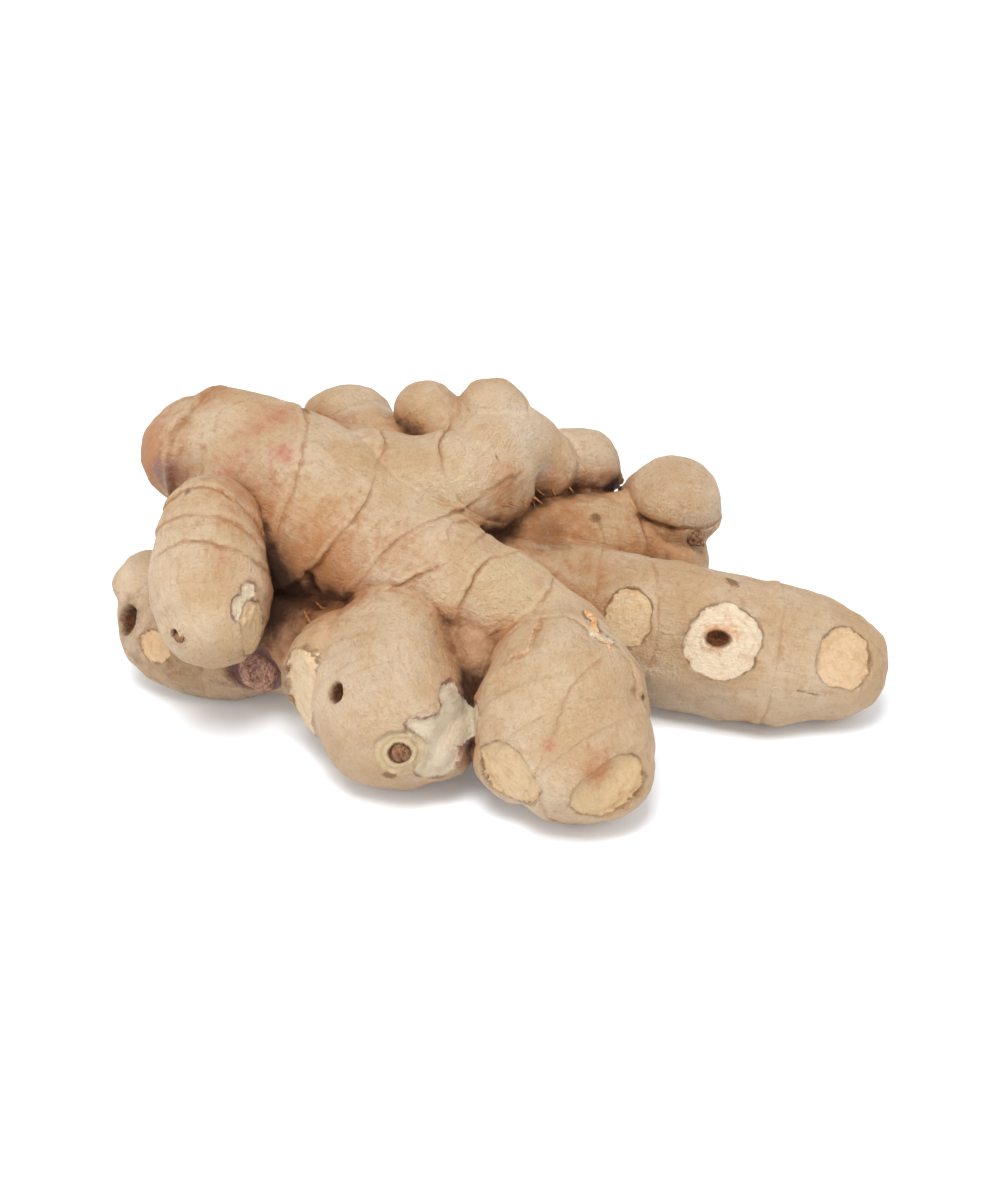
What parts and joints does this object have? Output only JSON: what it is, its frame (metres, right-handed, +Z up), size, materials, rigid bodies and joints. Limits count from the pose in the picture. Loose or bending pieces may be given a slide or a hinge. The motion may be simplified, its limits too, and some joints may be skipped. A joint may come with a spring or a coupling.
{
  "type": "ginger root",
  "caption": "Large hand of fresh ginger, one branching rhizome with blunt swollen fingers, lying on its lowest lobes.",
  "frame": {"origin": "on the surface that the rhizome lies on, under the middle of its bounding box", "axes": "+X along its longest side, towards the tip of the long finger; +Y away from the two front lobes; +Z up"},
  "size_m": [0.1882, 0.1267, 0.0689],
  "materials": {
    "ginger_skin": "matte, thin papery tan skin of a fresh rhizome"
  },
  "bodies": {
    "root": {"ginger_rhizome": "ginger_skin"}
  },
  "joints": []
}
